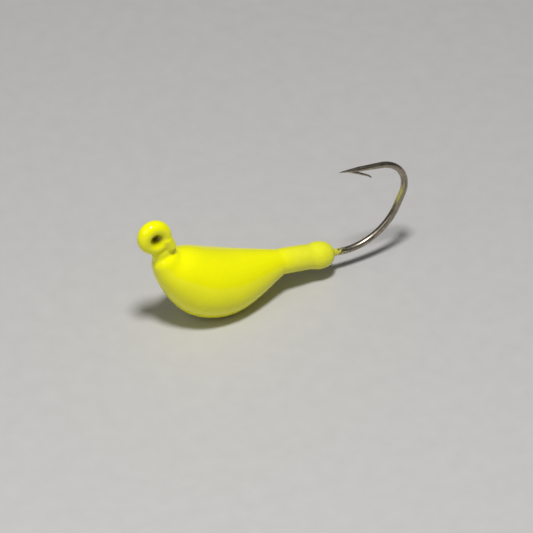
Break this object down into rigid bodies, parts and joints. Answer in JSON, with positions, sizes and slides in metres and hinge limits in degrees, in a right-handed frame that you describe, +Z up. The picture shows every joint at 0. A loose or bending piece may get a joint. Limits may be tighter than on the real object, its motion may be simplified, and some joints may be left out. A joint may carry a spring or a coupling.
{
  "type": "fishing jig head",
  "caption": "Painted lead jig head with a pear-shaped belly, a painted ring eye on its raised nose, a bait keeper collar and a barbed, upturned hook.",
  "frame": {"origin": "middle of the small resting flat under the belly", "axes": "+Z up, +X from the nose to the bend of the hook, Y across the jig; the hook lies in the plane Y = 0"},
  "size_m": [0.055, 0.0132, 0.0245],
  "materials": {
    "hook_steel": "satin bronzed wire with fine drawing marks",
    "lead": "dull as-cast lead",
    "paint": "glossy fluorescent chartreuse dip paint",
    "eye_paint": "glossy fluorescent chartreuse dip paint, thick in the eye"
  },
  "bodies": {
    "root": {"hook": "hook_steel", "lead_head": "lead", "head_coat": "paint", "eye_coat": "eye_paint"}
  },
  "joints": []
}
